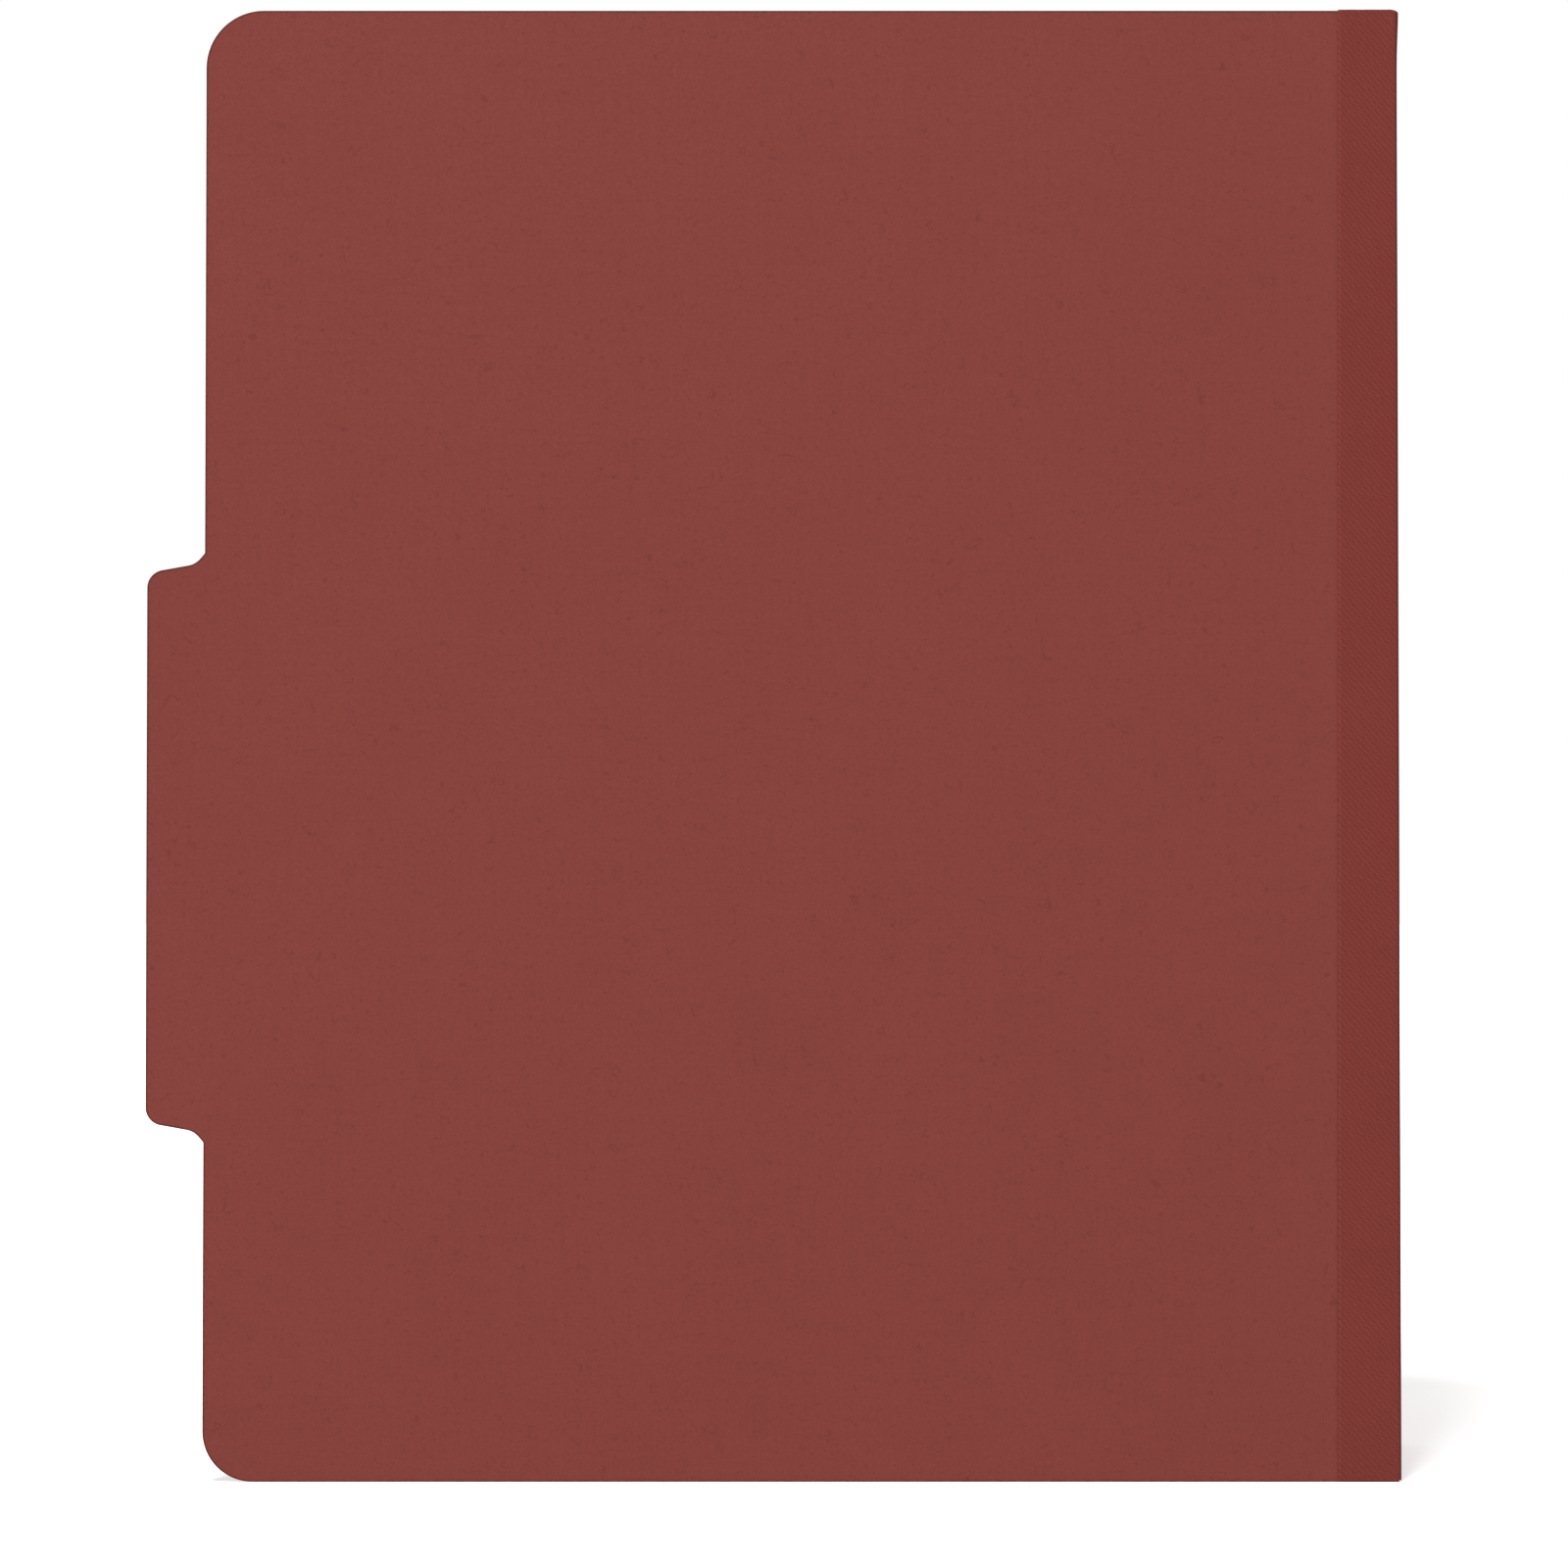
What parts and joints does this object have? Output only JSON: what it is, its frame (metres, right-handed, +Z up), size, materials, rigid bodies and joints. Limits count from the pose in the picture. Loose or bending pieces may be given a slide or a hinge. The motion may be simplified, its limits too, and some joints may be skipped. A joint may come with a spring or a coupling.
{
  "type": "classification folder",
  "caption": "Letter-size pressboard classification folder with index tab, pleated cloth gusset spine, dividers and metal prong fasteners that hold punched papers.",
  "frame": {"origin": "on the floor under the middle of the folder's bounding box", "axes": "+X from the tab to the spine, +Y from the back cover to the front cover, +Z up along the spine"},
  "size_m": [0.2614, 0.1588, 0.2986],
  "materials": {
    "red_pressboard": "matte",
    "red_gusset_cloth": "matte",
    "kraft_board": "matte",
    "tinned_steel": "satin"
  },
  "bodies": {
    "back": {"back_cover": "red_pressboard", "back_tape": "red_gusset_cloth", "gusset_panel_1": "red_gusset_cloth", "back_cover_base": "tinned_steel", "back_cover_patch": "red_pressboard", "back_cover_compressor": "tinned_steel"},
    "rear_land": {"gusset_panel_2": "red_gusset_cloth", "rear_divider_land": "red_gusset_cloth"},
    "rear_leaf": {"rear_divider": "kraft_board", "rear_divider_tape": "red_gusset_cloth", "gusset_panel_3": "red_gusset_cloth", "rear_divider_base": "tinned_steel", "rear_divider_front_compressor": "tinned_steel", "rear_divider_rear_compressor": "tinned_steel"},
    "front_land": {"gusset_panel_4": "red_gusset_cloth", "front_divider_land": "red_gusset_cloth"},
    "front_leaf": {"front_divider": "kraft_board", "front_divider_tape": "red_gusset_cloth", "gusset_panel_5": "red_gusset_cloth", "front_divider_base": "tinned_steel", "front_divider_front_compressor": "tinned_steel", "front_divider_rear_compressor": "tinned_steel"},
    "edge_land": {"gusset_panel_6": "red_gusset_cloth", "gusset_edge": "red_gusset_cloth"},
    "front": {"front_cover": "red_pressboard", "front_tape": "red_gusset_cloth", "front_cover_base": "tinned_steel", "front_cover_patch": "red_pressboard", "front_cover_compressor": "tinned_steel"},
    "back_cover_prong_spine": {"back_cover_prong_spine": "tinned_steel"},
    "back_cover_lock_spine": {"back_cover_lock_spine": "tinned_steel"},
    "back_cover_prong_fore": {"back_cover_prong_fore": "tinned_steel"},
    "back_cover_lock_fore": {"back_cover_lock_fore": "tinned_steel"},
    "rear_divider_rear_prong_spine": {"rear_divider_rear_prong_spine": "tinned_steel"},
    "rear_divider_rear_lock_spine": {"rear_divider_rear_lock_spine": "tinned_steel"},
    "rear_divider_rear_prong_fore": {"rear_divider_rear_prong_fore": "tinned_steel"},
    "rear_divider_rear_lock_fore": {"rear_divider_rear_lock_fore": "tinned_steel"},
    "rear_divider_front_prong_spine": {"rear_divider_front_prong_spine": "tinned_steel"},
    "rear_divider_front_lock_spine": {"rear_divider_front_lock_spine": "tinned_steel"},
    "rear_divider_front_prong_fore": {"rear_divider_front_prong_fore": "tinned_steel"},
    "rear_divider_front_lock_fore": {"rear_divider_front_lock_fore": "tinned_steel"},
    "front_divider_rear_prong_spine": {"front_divider_rear_prong_spine": "tinned_steel"},
    "front_divider_rear_lock_spine": {"front_divider_rear_lock_spine": "tinned_steel"},
    "front_divider_rear_prong_fore": {"front_divider_rear_prong_fore": "tinned_steel"},
    "front_divider_rear_lock_fore": {"front_divider_rear_lock_fore": "tinned_steel"},
    "front_divider_front_prong_spine": {"front_divider_front_prong_spine": "tinned_steel"},
    "front_divider_front_lock_spine": {"front_divider_front_lock_spine": "tinned_steel"},
    "front_divider_front_prong_fore": {"front_divider_front_prong_fore": "tinned_steel"},
    "front_divider_front_lock_fore": {"front_divider_front_lock_fore": "tinned_steel"},
    "front_cover_prong_spine": {"front_cover_prong_spine": "tinned_steel"},
    "front_cover_lock_spine": {"front_cover_lock_spine": "tinned_steel"},
    "front_cover_prong_fore": {"front_cover_prong_fore": "tinned_steel"},
    "front_cover_lock_fore": {"front_cover_lock_fore": "tinned_steel"}
  },
  "joints": [
    {"name": "rear_pleat_expand", "type": "slide", "parent": "back", "child": "rear_land", "axis": [0, 1, 0], "range_m": [-0.008, 0.0015], "deforming": ["gusset_panel_1", "gusset_panel_2"]},
    {"name": "rear_section_swing", "type": "hinge", "parent": "rear_land", "child": "rear_leaf", "pos_m": [0.12314, -0.06185, 0], "axis": [0, 0, -1], "range_deg": [-9, 156]},
    {"name": "middle_pleat_expand", "type": "slide", "parent": "rear_leaf", "child": "front_land", "axis": [0.1564, 0.9877, 0], "range_m": [-0.008, 0.0015], "deforming": ["gusset_panel_3", "gusset_panel_4"]},
    {"name": "middle_section_swing", "type": "hinge", "parent": "front_land", "child": "front_leaf", "pos_m": [0.12565, -0.04603, 0], "axis": [0, 0, 1], "range_deg": [-156, 9]},
    {"name": "front_pleat_expand", "type": "slide", "parent": "front_leaf", "child": "edge_land", "axis": [0.309, 0.9511, 0], "range_m": [-0.008, 0.0015], "deforming": ["gusset_panel_5", "gusset_panel_6"]},
    {"name": "front_section_swing", "type": "hinge", "parent": "edge_land", "child": "front", "pos_m": [0.13075, -0.03031, 0], "axis": [0, 0, -1], "range_deg": [-9, 171]},
    {"name": "back_cover_prong_spine_fold", "type": "hinge", "parent": "back", "child": "back_cover_prong_spine", "pos_m": [0.03707, -0.07587, 0.27645], "axis": [0, 0, -1], "range_deg": [0, 90]},
    {"name": "back_cover_lock_spine_slide", "type": "slide", "parent": "back", "child": "back_cover_lock_spine", "axis": [1, 0, 0], "range_m": [0, 0.016]},
    {"name": "back_cover_prong_fore_fold", "type": "hinge", "parent": "back", "child": "back_cover_prong_fore", "pos_m": [-0.03278, -0.07587, 0.27645], "axis": [0, 0, 1], "range_deg": [0, 90]},
    {"name": "back_cover_lock_fore_slide", "type": "slide", "parent": "back", "child": "back_cover_lock_fore", "axis": [-1, 0, 0], "range_m": [0, 0.016]},
    {"name": "rear_divider_rear_prong_spine_fold", "type": "hinge", "parent": "rear_leaf", "child": "rear_divider_rear_prong_spine", "pos_m": [0.03771, -0.05103, 0.27645], "axis": [0, 0, 1], "range_deg": [0, 90]},
    {"name": "rear_divider_rear_lock_spine_slide", "type": "slide", "parent": "rear_leaf", "child": "rear_divider_rear_lock_spine", "axis": [0.9877, -0.1564, 0], "range_m": [0, 0.016]},
    {"name": "rear_divider_rear_prong_fore_fold", "type": "hinge", "parent": "rear_leaf", "child": "rear_divider_rear_prong_fore", "pos_m": [-0.03128, -0.0401, 0.27645], "axis": [0, 0, -1], "range_deg": [0, 90]},
    {"name": "rear_divider_rear_lock_fore_slide", "type": "slide", "parent": "rear_leaf", "child": "rear_divider_rear_lock_fore", "axis": [-0.9877, 0.1564, 0], "range_m": [0, 0.016]},
    {"name": "rear_divider_front_prong_spine_fold", "type": "hinge", "parent": "rear_leaf", "child": "rear_divider_front_prong_spine", "pos_m": [0.03831, -0.04722, 0.27645], "axis": [0, 0, 1], "range_deg": [-90, 0]},
    {"name": "rear_divider_front_lock_spine_slide", "type": "slide", "parent": "rear_leaf", "child": "rear_divider_front_lock_spine", "axis": [0.9877, -0.1564, 0], "range_m": [0, 0.016]},
    {"name": "rear_divider_front_prong_fore_fold", "type": "hinge", "parent": "rear_leaf", "child": "rear_divider_front_prong_fore", "pos_m": [-0.03068, -0.0363, 0.27645], "axis": [0, 0, -1], "range_deg": [-90, 0]},
    {"name": "rear_divider_front_lock_fore_slide", "type": "slide", "parent": "rear_leaf", "child": "rear_divider_front_lock_fore", "axis": [-0.9877, 0.1564, 0], "range_m": [0, 0.016]},
    {"name": "front_divider_rear_prong_spine_fold", "type": "hinge", "parent": "front_leaf", "child": "front_divider_rear_prong_spine", "pos_m": [0.04296, -0.02197, 0.27645], "axis": [0, 0, -1], "range_deg": [-90, 0]},
    {"name": "front_divider_rear_lock_spine_slide", "type": "slide", "parent": "front_leaf", "child": "front_divider_rear_lock_spine", "axis": [0.9511, -0.309, 0], "range_m": [0, 0.016]},
    {"name": "front_divider_rear_prong_fore_fold", "type": "hinge", "parent": "front_leaf", "child": "front_divider_rear_prong_fore", "pos_m": [-0.02347, -0.00039, 0.27645], "axis": [0, 0, 1], "range_deg": [-90, 0]},
    {"name": "front_divider_rear_lock_fore_slide", "type": "slide", "parent": "front_leaf", "child": "front_divider_rear_lock_fore", "axis": [-0.9511, 0.309, 0], "range_m": [0, 0.016]},
    {"name": "front_divider_front_prong_spine_fold", "type": "hinge", "parent": "front_leaf", "child": "front_divider_front_prong_spine", "pos_m": [0.04415, -0.01831, 0.27645], "axis": [0, 0, -1], "range_deg": [0, 90]},
    {"name": "front_divider_front_lock_spine_slide", "type": "slide", "parent": "front_leaf", "child": "front_divider_front_lock_spine", "axis": [0.9511, -0.309, 0], "range_m": [0, 0.016]},
    {"name": "front_divider_front_prong_fore_fold", "type": "hinge", "parent": "front_leaf", "child": "front_divider_front_prong_fore", "pos_m": [-0.02228, 0.00328, 0.27645], "axis": [0, 0, 1], "range_deg": [0, 90]},
    {"name": "front_divider_front_lock_fore_slide", "type": "slide", "parent": "front_leaf", "child": "front_divider_front_lock_fore", "axis": [-0.9511, 0.309, 0], "range_m": [0, 0.016]},
    {"name": "front_cover_prong_spine_fold", "type": "hinge", "parent": "front", "child": "front_cover_prong_spine", "pos_m": [0.05251, 0.00572, 0.27645], "axis": [0, 0, 1], "range_deg": [0, 90]},
    {"name": "front_cover_lock_spine_slide", "type": "slide", "parent": "front", "child": "front_cover_lock_spine", "axis": [0.891, -0.454, 0], "range_m": [0, 0.016]},
    {"name": "front_cover_prong_fore_fold", "type": "hinge", "parent": "front", "child": "front_cover_prong_fore", "pos_m": [-0.00973, 0.03743, 0.27645], "axis": [0, 0, -1], "range_deg": [0, 90]},
    {"name": "front_cover_lock_fore_slide", "type": "slide", "parent": "front", "child": "front_cover_lock_fore", "axis": [-0.891, 0.454, 0], "range_m": [0, 0.016]}
  ]
}
